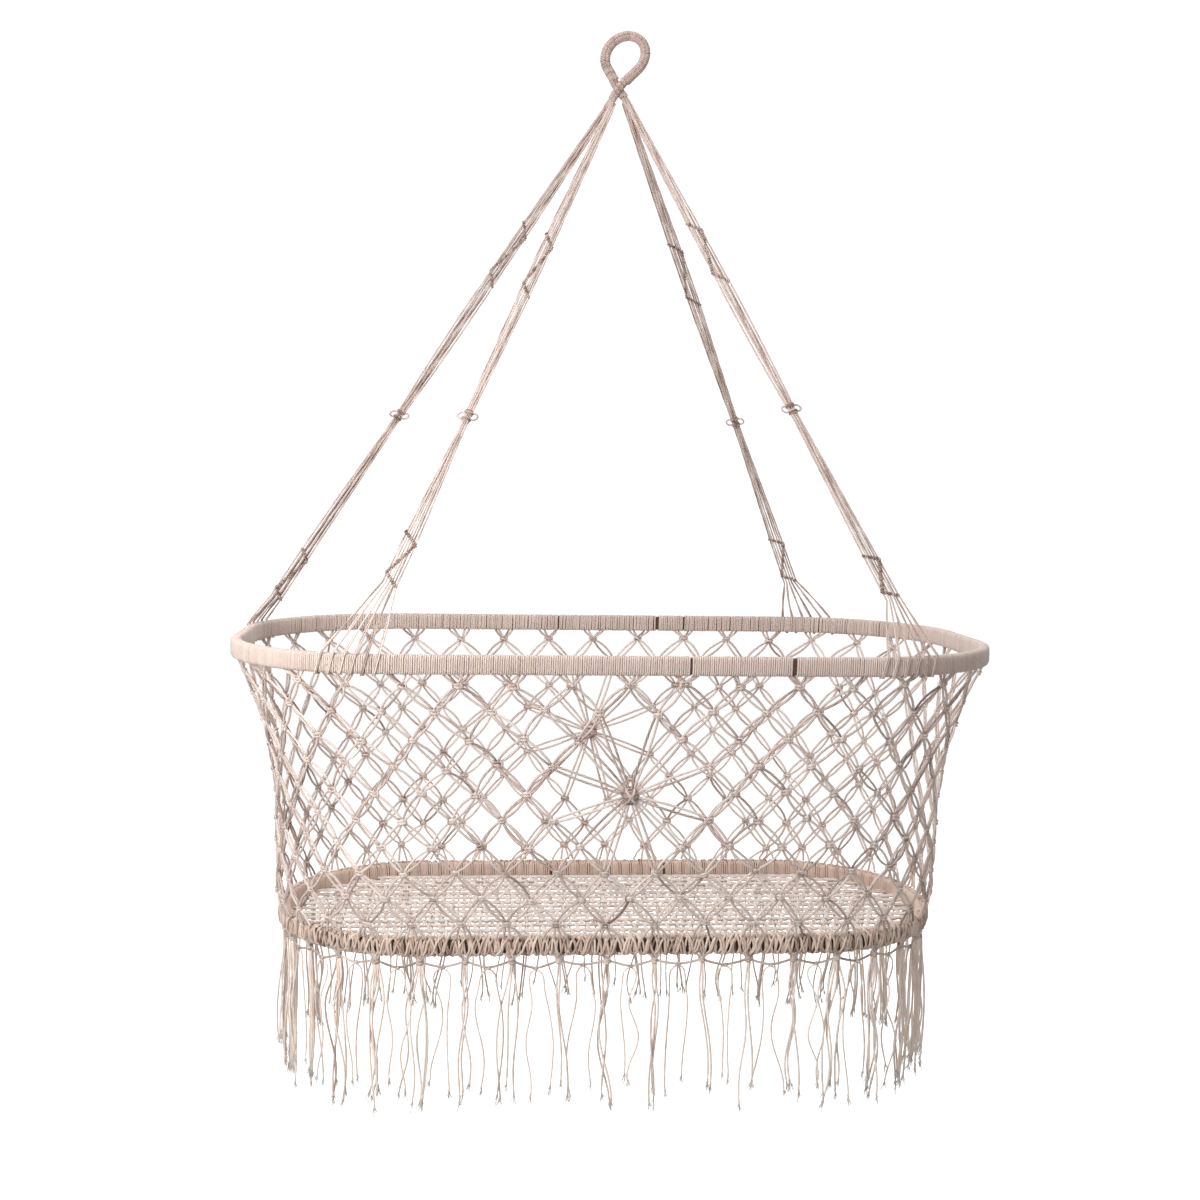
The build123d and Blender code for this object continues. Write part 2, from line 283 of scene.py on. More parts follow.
def turns(centre, along, out, up, half_out, half_up, slant, points, power=1.0, sweep=(-0.5, 0.5)):
    """One turn of cord round something at each centre; slant is its advance from start to end."""
    share = np.linspace(sweep[0], sweep[1], points)
    c, s = rounded(2 * pi * share, power)
    spread = share / (sweep[1] - sweep[0])
    along, out, up = (np.broadcast_to(v, centre.shape)[:, None] for v in (along, out, up))
    half_out, half_up, slant = (
        np.broadcast_to(v, len(centre))[:, None, None] for v in (half_out, half_up, slant)
    )
    return (centre[:, None] + out * c[:, None] * half_out + up * s[:, None] * half_up
            + along * spread[:, None] * slant)


# ---- Materials ----
def give(made, values):
    """Set a node's sockets, by name or number, to constants or to other nodes' outputs."""
    for key, value in values.items():
        if isinstance(value, bpy.types.NodeSocket):
            made.id_data.links.new(value, made.inputs[key])
        else:
            made.inputs[key].default_value = value


def node(tree, kind, inputs, **settings):
    made = tree.nodes.new(kind)
    for key, value in settings.items():
        setattr(made, key, value)
    give(made, inputs)
    return made


def maths(tree, operation, *values):
    return node(tree, "ShaderNodeMath", dict(enumerate(values)), operation=operation).outputs[0]


def srgb(*values):
    return tuple(((v / 255 + 0.055) / 1.055) ** 2.4 for v in values) + (1.0,)


def new_material(name, roughness):
    """A material, with its node tree and its shader."""
    material = bpy.data.materials.new(name)
    material.use_nodes = True
    shader = material.node_tree.nodes["Principled BSDF"]
    give(shader, {"Roughness": roughness})
    return material, material.node_tree, shader


def noise(tree, place, scale, detail):
    inputs = {"Vector": place, "Scale": scale, "Detail": detail}
    return node(tree, "ShaderNodeTexNoise", inputs).outputs[0]


def colour_from(tree, shader, level, first, last, *between):
    """The shader's colour from a level, through a ramp of (level, sRGB colour) stops."""
    ramp = node(tree, "ShaderNodeValToRGB", {0: level})
    stops = ramp.color_ramp.elements
    for stop, (position, colour) in zip(stops, (first, last)):
        stop.position, stop.color = position, srgb(*colour)
    for position, colour in between:
        stops.new(position).color = srgb(*colour)
    give(shader, {"Base Color": ramp.outputs[0]})


def bump_from(tree, shader, height, distance, strength):
    inputs = {"Height": height, "Distance": distance, "Strength": strength}
    give(shader, {"Normal": node(tree, "ShaderNodeBump", inputs).outputs[0]})


fibre_scale, mottle_scale = 1600, 38


def cord_material(
    name, shade, middle, light, pitch=0.009, plies=3, depth=0.0003, ply_groove_shade=0.10, fibre_tone=0.34,
    mottle_tone=0.7,
):
    """Twisted cotton: plies from the lengthwise UV, with painted shade in the grooves between them,
    fine fibres, a tone for each cord, mottling.
    """
    material, tree, shader = new_material(f"{name}_cotton", 0.88)
    uv = node(tree, "ShaderNodeUVMap", {}, uv_map="cord")
    parts = node(tree, "ShaderNodeSeparateXYZ", {0: uv.outputs[0]})
    lengthwise = maths(tree, "MULTIPLY", parts.outputs[0], 2 * pi / pitch)
    around = maths(tree, "MULTIPLY", parts.outputs[1], 2 * pi * plies)
    ply = maths(tree, "SINE", maths(tree, "ADD", lengthwise, around))
    place = node(tree, "ShaderNodeTexCoord", {}).outputs["Object"]
    fibre, mottle = noise(tree, place, fibre_scale, 3), noise(tree, place, mottle_scale, 2)
    tone = node(tree, "ShaderNodeAttribute", {}, attribute_name="tone")
    # The ply stripes paint shade into the grooves between the plies and paint light onto their
    # crests.
    level = maths(tree, "ADD", maths(tree, "MULTIPLY", ply, ply_groove_shade), 0.5)
    level = maths(tree, "ADD", level, tone.outputs["Fac"])
    for pattern, weight in ((fibre, fibre_tone), (mottle, mottle_tone)):
        change = maths(tree, "MULTIPLY", maths(tree, "SUBTRACT", pattern, 0.5), weight)
        level = maths(tree, "ADD", level, change)
    colour_from(tree, shader, level, (0.0, shade), (1.0, light), (0.45, middle))
    height = maths(tree, "MULTIPLY", ply, 0.5)
    height = maths(tree, "ADD", height, maths(tree, "MULTIPLY", fibre, 0.6))
    bump_from(tree, shader, height, depth, 0.7)
    give(shader, {"Sheen Weight": 0.3, "Sheen Roughness": 0.5})
    return material


def wood_material(name, dark_and_gap_shade, light):
    """Bent wood seen through gaps in the winding: fine grain, darker in patches, its dark end
    painting the shade in the gaps.
    """
    material, tree, shader = new_material(name, 0.6)
    place = node(tree, "ShaderNodeTexCoord", {}).outputs["Object"]
    along_grain = node(tree, "ShaderNodeMapping", {"Vector": place, "Scale": (6, 6, 90)})
    grain = noise(tree, along_grain.outputs[0], 14, 6)
    colour_from(tree, shader, grain, (0.3, dark_and_gap_shade), (0.75, light))
    bump_from(tree, shader, grain, 0.0004, 1.0)
    return material


wound_look = {
    "pitch": 0.0075, "plies": 2, "depth": 0.00012, "ply_groove_shade": 0.05, "fibre_tone": 0.25
}
net_cotton = cord_material("net", (134, 109, 98), (216, 197, 187), (242, 230, 222), ply_groove_shade=0.15)
base_cotton = cord_material("base", (164, 142, 131), (232, 216, 206), (248, 238, 231))
knotting_cotton = cord_material(
    "knotting", (124, 95, 79), (212, 188, 172), (238, 220, 207), ply_groove_shade=0.14
)
wrap_cotton = cord_material(
    "wrap", (146, 123, 112), (212, 193, 183), (234, 220, 211), **wound_look, mottle_tone=0.32
)
low_wrap_cotton = cord_material(
    "low_wrap", (150, 121, 106), (220, 195, 180), (240, 221, 208), **wound_look, mottle_tone=0.4
)
sling_cotton = cord_material(
    "sling", (130, 105, 94), (210, 190, 180), (232, 217, 209), pitch=0.011,
    plies=2, depth=0.00012, ply_groove_shade=0.08, fibre_tone=0.24, mottle_tone=0.5
)
fringe_cotton = cord_material("fringe", (186, 160, 144), (246, 228, 215), (253, 245, 238))
loop_cotton = cord_material(
    "loop", (146, 120, 109), (205, 182, 172), (222, 204, 195), pitch=0.012,
    plies=1, depth=0.0001, ply_groove_shade=0.04, fibre_tone=0.22, mottle_tone=0.35
)
# The wood's near-black dark end is painted shade for the gaps in the winding; the grain between is
# the wood's own.
wood = wood_material("bent_wood", (34, 26, 20), (122, 88, 62))

for name in ("top_hoop_core", "bottom_hoop_core"):
    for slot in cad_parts[name].material_slots:
        slot.material = wood

# ---- Camera, lights and floor ----
camera_place = Vector((-0.1738, -1.9631, -0.5152))
camera_yaw, camera_pitch, camera_roll = 0.0818, 0.0789, -0.0159
level_reach = cos(camera_pitch)
forward = Vector((sin(camera_yaw) * level_reach, cos(camera_yaw) * level_reach, -sin(camera_pitch)))
level_right = forward.cross(Vector((0, 0, 1))).normalized()
level_up = level_right.cross(forward)
camera_right = level_right * cos(camera_roll) - level_up * sin(camera_roll)
camera_up = level_up * cos(camera_roll) + level_right * sin(camera_roll)
camera_data = bpy.data.cameras.new("camera")
camera_data.sensor_width = 36
camera_data.lens = 48.26
camera_data.clip_end = 100
camera = bpy.data.objects.new("camera", camera_data)
camera.matrix_world = Matrix.Translation(camera_place) @ Matrix(
    (camera_right, camera_up, -forward)
).transposed().to_4x4()
scene.collection.objects.link(camera)
scene.camera = camera


def soft_light(name, place, target, size, power, colour=(1, 1, 1)):
    data = bpy.data.lights.new(name, "AREA")
    data.size, data.energy, data.color = size, power, colour
    light = bpy.data.objects.new(name, data)
    light.location = place
    light.rotation_euler = (Vector(target) - Vector(place)).to_track_quat("-Z", "Y").to_euler()
    scene.collection.objects.link(light)


soft_light("key", (-0.86, -0.98, -0.42), (0, -0.1, -0.78), 0.5, 11.0, (1, 0.99, 0.98))
soft_light("top", (-0.8, -1.5, 1.2), (0, 0, -0.3), 1.6, 8)
soft_light("inside", (-0.10, -0.40, 2.0), (0, 0.14, -1.0), 1.4, 29)
soft_light("fill", (1.9, -1.9, -0.1), (0, 0, -0.75), 1.6, 2, (1, 0.84, 0.70))
soft_light("behind", (0.5, 2.2, 0.1), (0, 0, -0.75), 1.6, 24)
world = bpy.data.worlds.new("white_room")
world.use_nodes = True
give(world.node_tree.nodes["Background"], {"Color": (1, 1, 1, 1), "Strength": 0.42})
scene.world = world
scene.view_settings.view_transform = "Standard"


def stage_material(name, colour, glow):
    material, _, shader = new_material(name, 0.9)
    give(shader, {"Base Color": (colour, colour, colour, 1), "Specular IOR Level": 0.1})
    give(shader, {"Emission Color": (1, 1, 1, 1), "Emission Strength": glow})
    return material


# The studio: a white floor in a round white room, seen but not lighting or shading the object.
floor_mesh = bpy.data.meshes.new("floor")
reach, floor_level = 10.0, fringe_low[2] - 0.35
square = ((-1, -1), (1, -1), (1, 1), (-1, 1))
floor_mesh.from_pydata([(x * reach, y * reach, floor_level) for x, y in square], [], [range(4)])
floor = bpy.data.objects.new("floor", floor_mesh)
floor_mesh.materials.append(stage_material("floor_paper", 0.9, 0.62))
bpy.ops.mesh.primitive_ico_sphere_add(subdivisions=4, radius=9.0, location=(0, 0, floor_level))
room = bpy.context.object
room.name = "paper_room"
room.data.materials.append(stage_material("room_paper", 0.0, 1.1))
scene.collection.objects.link(floor)
for thing in (floor, room):
    thing.visible_diffuse = thing.visible_glossy = thing.visible_shadow = False

# ---- Hanging loop: a rope closely wound with cord, its limbs crossing at the neck ----
rope_radius = 0.00625
crossing = np.array([0, 0, -0.055])
loop_radius = 0.02375
loop_centre = rope_radius - loop_radius
limb_spread = asin(loop_radius / (loop_centre - crossing[2]))
tangent_length = sqrt((loop_centre - crossing[2]) ** 2 - loop_radius**2)
limb_start, whipping_end = 0.011, 0.024
limb_angle = radians(30)
loop_lean = 0.0105
arc = pi + 2 * limb_spread
loop_path_length = 2 * (tangent_length - limb_start) + loop_radius * arc


def loop_line(distance):
    """The loop's middle line from the right limb round to the left one, leaning slightly."""
    run = tangent_length - limb_start
    d = np.asarray(distance, float)
    zones = [d < run, d > run + loop_radius * arc]
    angle = -limb_spread + (d - run) / loop_radius
    right, left = limb_start + d, limb_start + (loop_path_length - d)
    x = np.select(zones, [right * sin(limb_spread), -left * sin(limb_spread)],
                  loop_radius * np.cos(angle))
    rise = cos(limb_spread)
    z = np.select(zones, [crossing[2] + right * rise, crossing[2] + left * rise],
                  loop_centre + loop_radius * np.sin(angle))
    lean = loop_lean * (z - crossing[2]) / (-crossing[2])
    return at(x + lean, 0 * x, z)


def wound(cords, middle, radius, pitch, cord):
    """Closely wound turns round a line; middle gives the line's points, one per turn."""
    along = unit(np.gradient(middle, axis=0))
    across = unit(np.cross(along, [0.0, 1.0, 0.0]))
    size = radius - cord + rng.normal(0, 0.00008, len(middle))
    slant = pitch * rng.normal(1, 0.12, len(middle))
    cords.add(turns(middle, along, unit(np.cross(across, along)), across, size, size, slant, 13),
              cord, 6, tone=0.12)


def limb_direction(side):
    return np.array([side * sin(limb_angle), 0, -cos(limb_angle)])


loop_cords = Cords()
loop_pitch, wind_radius = 0.00185, 0.00105
loop_steps = np.arange(0, loop_path_length, loop_pitch)
wound(loop_cords, loop_line(loop_steps), rope_radius, loop_pitch, wind_radius)
loop_cords.add(loop_line(np.linspace(0, loop_path_length, 60)), 0.0047, 12, tone=0.0)
loop_piece = loop_cords.build("loop_winding", loop_cotton, "wrapping", "loop_wrapping", "loop_core")
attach(loop_piece, "hanging_loop")

# The limbs pass each other at the crossing, one in front, both wound like the loop.
neck_radius, neck_pitch = 0.0054, 0.0018
neck_cords = Cords()
for side, depth in ((1, -0.0033), (-1, 0.0033)):
    top = crossing + limb_start * np.array([side * sin(limb_spread), 0, cos(limb_spread)])
    low = crossing + limb_start * limb_direction(-side)
    steps = np.linspace(0, 1, 13)[:, None]
    middle = top + (low - top) * steps + np.array([0, depth, 0]) * np.sin(pi * steps)
    wound(neck_cords, middle, neck_radius, neck_pitch, wind_radius)
neck_piece = neck_cords.build("neck_crossing", loop_cotton, "wrapping", "crossing_knot")
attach(neck_piece, "neck")

# Below the crossing the winding ends early, and the strands leave it as a flat bundle.
bundle_half_sizes = (0.0052, 0.0043)
for side, side_name, wound_length in ((-1, "left", 0.006), (1, "right", 0.0022)):
    whipping = Cords()
    steps = np.arange(limb_start - 0.001, limb_start + wound_length, neck_pitch)
    middle = crossing + limb_direction(side) * steps[:, None]
    out = np.array([0.0, 1.0, 0.0])
    across = np.cross(limb_direction(side), out)
    bands = turns(middle, limb_direction(side), out, across, *bundle_half_sizes, neck_pitch, 14)
    whipping.add(bands, wind_radius, 6, tone=0.1)
    spread = np.linspace(-1, 1, 7)
    for layer in (-1, 0, 1):
        start = crossing + limb_direction(side) * limb_start
        start = start + across * (spread * 0.0026)[:, None] + out * layer * 0.0028
        finish = crossing + limb_direction(side) * (whipping_end + 0.004)
        finish = finish + across * (spread * 0.0036)[:, None] + out * layer * 0.0034
        steps = np.linspace(0, 1, 7)[:, None]
        whipping.add(start[:, None] + (finish - start)[:, None] * steps, 0.00085, 6)
    piece = whipping.build(
        f"{side_name}_whipping", sling_cotton, "wrapping", f"{side_name}_neck_whipping"
    )
    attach(piece, "yoke")

# ---- Slings ----
half_rim = rim_length(*top_middle) / 2
# Each sling's side and face, where it lands on the rim, how far past that it aims, how far in it
# starts, and its upper knots, bow knot and lower knots at shares of its length.
slings = {
    "front_left": (-1, -1, -0.298, 0.006, 0.005, (0.255, 0.370), 0.593, (0.800, 0.886)),
    "front_right": (1, -1, 0.314, 0.016, 0.0, (0.223, 0.339), 0.570, (0.826, 0.902)),
    "back_right": (1, 1, half_rim - 0.296, 0.005, 0.003, (0.234, 0.354), 0.580, (0.823, 0.922)),
    "back_left": (-1, 1, half_rim + 0.505, 0.005, 0.0, (0.219, 0.331), 0.584, (0.855, 0.950)),
}
neck_gap, neck_offset, inset_drop = 0.002, 0.0034, 0.7
pairs = 6
strand_radius, fan_radius, face_radius = 0.00088, 0.00092, 0.00095
twin_gap, twist_pitch = 0.00030, 0.055  # the cords of a pair twist round each other
fan_pitch = 0.0125
crossing_shift = -0.006  # the fan cords slant across the hoop's outer face
bar_half_widths = {"upper": 0.0064, "lower": 0.0082}
bar_ends = ((0.0, 0.17), (0.19, 0.80), (0.82, 1.0))  # where each bar of knots lies in its zone
bar_coils, coil_radius = (9, 19, 9), 0.00092


def smooth_step(x):
    x = np.clip(x, 0, 1)
    return x * x * (3 - 2 * x)


for name, (side, face, landing, aim, inset, upper, bow, lower) in slings.items():
    start = crossing + limb_direction(side) * (whipping_end + neck_gap + inset_drop * inset)
    start = start + np.array([-side * inset, face * neck_offset, 0])
    foot, rim_along, _ = rim_frame(landing + aim, top_middle, top_high[2])
    reach = np.linalg.norm(foot - start)
    direction = (foot - start) / reach
    forward = np.array([-face, 0.0, 0.0])
    facing = unit(forward - direction * forward.dot(direction))
    following = unit(rim_along - direction * rim_along.dot(direction))
    lower_flat = unit(facing + following)

    def ribbon(share):
        """The ways across the sling and through it at each share of its length."""
        turn = smooth_step((np.asarray(share, float) - bow) / (lower[0] - bow))[..., None]
        flat = unit(facing * (1 - turn) + lower_flat * turn)
        return flat, np.cross(direction, flat)

    # How far the pairs spread across the sling at each share of it.
    marks = [-0.012, 0.05, *upper, bow - 0.10, bow - 0.008, bow + 0.008, bow + 0.06, *lower]
    half_width = np.array([3.0, 3.6, 5.8, 6.2, 4.6, 3.2, 3.0, 3.8, 7.6, 8.2]) / 1000
    count = 120
    share = np.linspace(marks[0], lower[1], count)
    width = np.pad(np.interp(share, marks, half_width), 2, mode="edge")
    width = np.convolve(width, np.ones(5) / 5, "valid")
    flat, thick = ribbon(share)
    pair = np.repeat(np.arange(pairs), 2)
    pair_place = pair - (pairs - 1) / 2
    slot_flat = pair_place / ((pairs - 1) / 2)
    twin = np.tile([-1, 1], pairs)
    phase = np.repeat(rng.uniform(0, 2 * pi, pairs), 2)
    twist = phase[:, None] + 2 * pi * share * reach / twist_pitch
    pull = np.repeat(smooth_noise(pairs, count, 0.00045, (2, 5)), 2, axis=0)
    path = start + direction * (share * reach)[None, :, None] + pull
    across = slot_flat[:, None] * width + twin[:, None] * twin_gap * np.cos(twist)
    through = twin[:, None] * twin_gap * np.sin(twist) + (pair % 2 - 0.5)[:, None] * 0.0008
    path = path + flat * across[:, :, None] + thick * through[:, :, None]
    if name in ("back_left", "front_right"):
        # On these two, a pair stands off each edge between the upper knots and the bow knot.
        bulge = 0.0013 * np.sin(pi * np.clip((share - upper[1]) / (bow - upper[1]), 0, 1)) ** 0.5
        edge = np.sign(slot_flat) * (np.abs(slot_flat) > 0.9)
        path = path + flat * edge[:, None, None] * bulge[:, None]

    # The fan: the pairs spread to the hoop, cross its outer face and go under it.
    spot = landing + pair_place * fan_pitch + twin * 0.0009
    spot = spot + np.repeat(rng.normal(0, 0.0007, pairs), 2)
    over, _, out = rim_frame(spot, top_middle, top_high[2] + 0.0006)
    over = over + out * (top_depth / 2 + 0.0004)
    under, _, out_low = rim_frame(spot + crossing_shift, top_middle, top_low[2] - 0.0004)
    under_out = under + out_low * (top_depth / 2 + 0.0006)
    end = under - upwards * 0.0006
    last = path[:, -1]
    step = np.linspace(0, 1, 13)[1:, None]
    fan = last[:, None] + (over - last)[:, None] * step
    fan_reach = np.linalg.norm(over - last, axis=1)[:, None]
    fan_twist = twist[:, -1:] + 2 * pi * fan_reach * step[:, 0] / twist_pitch
    ease = np.sin(pi * step[:, 0])
    fan = fan + lower_flat * (twin[:, None] * 0.0005 * np.cos(fan_twist) * ease)[:, :, None]
    fan = fan + np.repeat(rng.normal(0, 0.0007, (pairs, 1, 3)), 2, axis=0) * ease[None, :, None]
    face_down = over[:, None] + (under_out - over)[:, None] * np.linspace(0, 1, 7)[1:, None]
    radius = np.concatenate([
        np.full(count, strand_radius), np.linspace(strand_radius, fan_radius, len(step)),
        np.full(face_down.shape[1] + 1, face_radius),
    ])
    path = np.concatenate([path, fan, face_down, end[:, None]], 1)
    strands_mesh = Cords().add(path, radius[None], 6, tone=0.27, shade=-0.03)
    piece = strands_mesh.build(f"{name}_strands", sling_cotton, "cord", f"sling_{name}_cords")
    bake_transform(piece)

    # Upper and lower knots: a zigzag of three bars of half hitches, coiled round a leader.
    for zone, zone_name in ((upper, "upper"), (lower, "lower")):
        bars = Cords()
        zone_flat, zone_thick = ribbon((zone[0] + zone[1]) / 2)
        length = (zone[1] - zone[0]) * reach
        for bar, ((first, final), number) in enumerate(zip(bar_ends, bar_coils)):
            turn = (1 if bar % 2 == 0 else -1) * face
            lean = zone_flat * turn * bar_half_widths[zone_name]
            head = start + direction * (zone[0] * reach + length * first) + lean
            tail = start + direction * (zone[0] * reach + length * final) - lean
            middle = head + (tail - head) * np.linspace(0.0, 1.0, number)[:, None]
            along = unit(tail - head)
            across = np.cross(along, zone_thick)
            size = 0.00125 + rng.normal(0, 0.00012, number)
            # The coils of the hitches are painted darker: painted shade in the knots.
            bars.add(turns(middle, along, zone_thick, across, size + 0.0006, size, 0.0014, 11),
                     coil_radius, 6, tone=0.16, shade=-0.32)
            bars.add(np.stack([head, tail]), 0.0009, 6)
        piece = bars.build(
            f"{name}_{zone_name}_hitches", sling_cotton, "cord", f"sling_{name}_{zone_name}_knots"
        )
        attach(piece, "cradle")

    # The bow knot: two small knots stacked along the sling, with a loop standing out on each side.
    bow_cords = Cords()
    bow_flat, bow_thick = ribbon(bow)
    middle = start + direction * bow * reach
    for stack in (-1, 1):
        centres = middle + direction * (stack * 0.0042 + np.array([-0.0015, 0.0, 0.0015])[:, None])
        coils = turns(centres, direction, bow_thick, bow_flat, (0.0028, 0.0036, 0.0028),
                      (0.0038, 0.0046, 0.0038), (0.002, -0.002, 0.002), 15, 0.9)
        # The bow knot's coils are painted darker: painted shade in the knot.
        bow_cords.add(coils, 0.00125, 7, tone=0.14, shade=-0.3)
    level_flat = unit(bow_flat * np.array([1, 1, 0.35]))
    for picot in (-1, 1):
        centre = middle + level_flat * picot * 0.0068
        angle = np.linspace(0, 2 * pi, 21)[:, None]
        loop = centre + level_flat * np.cos(angle) * 0.0044 + direction * np.sin(angle) * 0.0040
        bow_cords.add(loop, 0.00115, 6, tone=0.14)
    piece = bow_cords.build(f"{name}_bow", sling_cotton, "cord", f"sling_{name}_bow_knot")
    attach(piece, "cradle")


# ---- Hoops: wood wound closely with cord, with a few gaps ----
def hoop_winding(plan, level, depth, height, gaps, facing=1, sweep=(-0.25, 0.75), bunch=0.0):
    """The turns round a hoop, as the cords of its right half and of its left half."""
    total = rim_length(*plan)
    number = int(total / wrap_pitch)
    bunching = bunch * np.sin(2 * pi * np.arange(number) / 6)
    distance = (np.arange(number) + bunching + rng.normal(0, 0.035, number)) * total / number
    x, y, _, _ = rim(distance, *plan)
    keep = np.ones(number, bool)
    for gap_x, gap_side, gap_width in gaps:
        near = np.abs(x - gap_x) < gap_width / 2 + wrap_pitch * 0.45
        keep &= ~(near & (np.sign(y) == gap_side))
    distance = distance[keep]
    centre, along, out = rim_frame(distance, plan, level)
    half_out = depth / 2 - wrap_radius + rng.normal(0, 0.00003, len(distance))
    half_up = height / 2 - wrap_radius + rng.normal(0, 0.00012, len(distance))
    slant = wrap_pitch * (1 + rng.normal(0, 0.25, len(distance)))
    ring = turns(centre, along, out * facing, upwards, half_out, half_up, slant, 21, 0.42, sweep)
    return [Cords().add(half, wrap_radius, 6, tone=0.05) for half in np.array_split(ring, 2)]


# Each gap: where along the cradle, front (-1) or back (1), and how wide.
top_gaps = ((0.180, -1, 0.003), (0.067, -1, 0.0015), (-0.049, 1, 0.0015), (0.088, 1, 0.0035),
            (0.125, 1, 0.0015))
bottom_gaps = ((-0.060, 1, 0.002), (0.095, 1, 0.002), (-0.140, -1, 0.0015), (0.150, -1, 0.0015))
top_height, bottom_height = top_high[2] - top_low[2], bottom_high[2] - bottom_low[2]
top_level, bottom_level = (top_high[2] + top_low[2]) / 2, (bottom_high[2] + bottom_low[2]) / 2
top_halves = hoop_winding(top_middle, top_level, top_depth, top_height, top_gaps)
bottom_halves = hoop_winding(
    bottom_middle, bottom_level, bottom_depth, bottom_height, bottom_gaps, -1, (-0.29, 0.29), 0.26
)
for hoop, halves, cotton, body in (
    ("top", top_halves, wrap_cotton, "cradle"), ("bottom", bottom_halves, low_wrap_cotton, "base")
):
    for half_name, winding in zip(("right", "left"), halves):
        piece = winding.build(
            f"{hoop}_hoop_winding_{half_name}", cotton, "wrapping", f"{hoop}_hoop_wrapping"
        )
        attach(piece, body)

# ---- Side net: a lattice of paired cords and square knots ----
# The knots that a starburst leaves out, by their rows and columns from its middle.
inner = [(row, column) for row in range(-2, 3) for column in (-1, -0.5, 0, 0.5, 1)
         if abs(row) / 2 + abs(column) <= 1 and (row / 2 + column) % 1 == 0]
left_out = {(star_row + row, (column + star) % columns)
            for row, column in inner for star in star_columns}


def drop_of(row):
    return first_drop + row_drop * (row - 1)


lattice = [(row, (column + (0.5 if row % 2 == 0 else 0)) % columns)
           for row in range(1, rows + 1) for column in range(columns)]
lattice = [spot for spot in lattice if spot not in left_out]
wander = {spot: rng.normal(0, 1, 4) for spot in lattice}


def lattice_frames(spots):
    """Places and directions of knots, each a little out of line."""
    row = np.array([s[0] for s in spots], float)
    column = np.array([s[1] for s in spots], float)
    odd = np.array([wander.get(s, np.zeros(4)) for s in spots])
    return net_frame(column, drop_of(row) + odd[:, 0] * 0.005, odd[:, 1] * 0.0014)


def offset(frames, across, down):
    point, along, descent, _ = frames
    across, down = (np.broadcast_to(v, len(point))[:, None] for v in (across, down))
    return point + along * across + descent * down


def pairs_of_cords(cords, first, last, first_offsets, last_offsets, bows, count=11):
    """A pair of cords from each first place to each last one, bowed apart between them."""
    for (a_across, a_down), (b_across, b_down), bow in zip(first_offsets, last_offsets, bows):
        a, b = offset(first, a_across, a_down), offset(last, b_across, b_down)
        run = unit(b - a)
        push = unit(np.cross(first[3] + last[3], run))
        push = push * (bow * rng.uniform(0.45, 1.35, len(a)))[:, None]
        push = push + first[3] * rng.normal(0, 0.0009, len(a))[:, None]
        path = bezier(a, a + (b - a) * 0.28 + push, a + (b - a) * 0.72 + push, b, count)
        path = path + smooth_noise(len(a), count, 0.00022, (2, 4))
        cords.add(path, cord_radius * rng.normal(1, 0.05, (len(a), 1)), 6)


lattice_cords, edge_cords, knot_cords = Cords(), Cords(), Cords()
for lean in (-1, 1):
    first, last = [], []
    for row, column in lattice:
        below = (row + 1, (column + lean * 0.5) % columns)
        if below in wander:
            first.append((row, column))
            last.append(below)
    pairs_of_cords(
        lattice_cords, lattice_frames(first), lattice_frames(last),
        ((lean * 0.0030, 0.0022), (lean * 0.0012, 0.0032)),
        ((-lean * 0.0012, -0.0032), (-lean * 0.0030, -0.0022)),
        (lean * 0.0034, -lean * 0.0034),
    )

# Each top knot hangs on four cords from under the hoop's winding.
column = np.arange(columns, dtype=float)
first_frames = lattice_frames([(1, place) for place in column])
for spread_out, across in (
    (-0.0135, -0.0034), (-0.0080, -0.0010), (0.0080, 0.0010), (0.0135, 0.0034)
):
    shift = spread_out + rng.normal(0, 0.0009, columns)
    a = net_frame(column, 0.0, shift)[0] + upwards * 0.0016
    b = offset(first_frames, across, -0.0026)
    bow = upwards * abs(spread_out) * 0.20
    edge_cords.add(bezier(a, a + (b - a) * 0.25 - bow, b + (a - b) * 0.3, b, 8), cord_radius, 6)

# Each bottom knot ends in four cords that fan out to the bottom hoop.
last_frames = lattice_frames([(rows, place + 0.5) for place in column])
hoop_share = (net_top - bottom_high[2]) / net_height
for spread_out, across in (
    (-0.0150, -0.0034), (-0.0055, -0.0010), (0.0055, 0.0010), (0.0150, 0.0034)
):
    shift = spread_out + rng.normal(0, 0.0014, columns)
    b, _, _, outward = net_frame(column + 0.5, hoop_share, shift)
    b = b - outward * 0.0022
    a = offset(last_frames, across, 0.0026)
    fan = last_frames[1] * spread_out * 0.25
    edge_cords.add(bezier(a, a + (b - a) * 0.35 + fan, b + (a - b) * 0.25, b, 8), cord_radius, 6)


# Square knots: two bars across the front, one behind, and a loop down each side.
knot_bar_radius, knot_side_radius = 0.00132, 0.00128


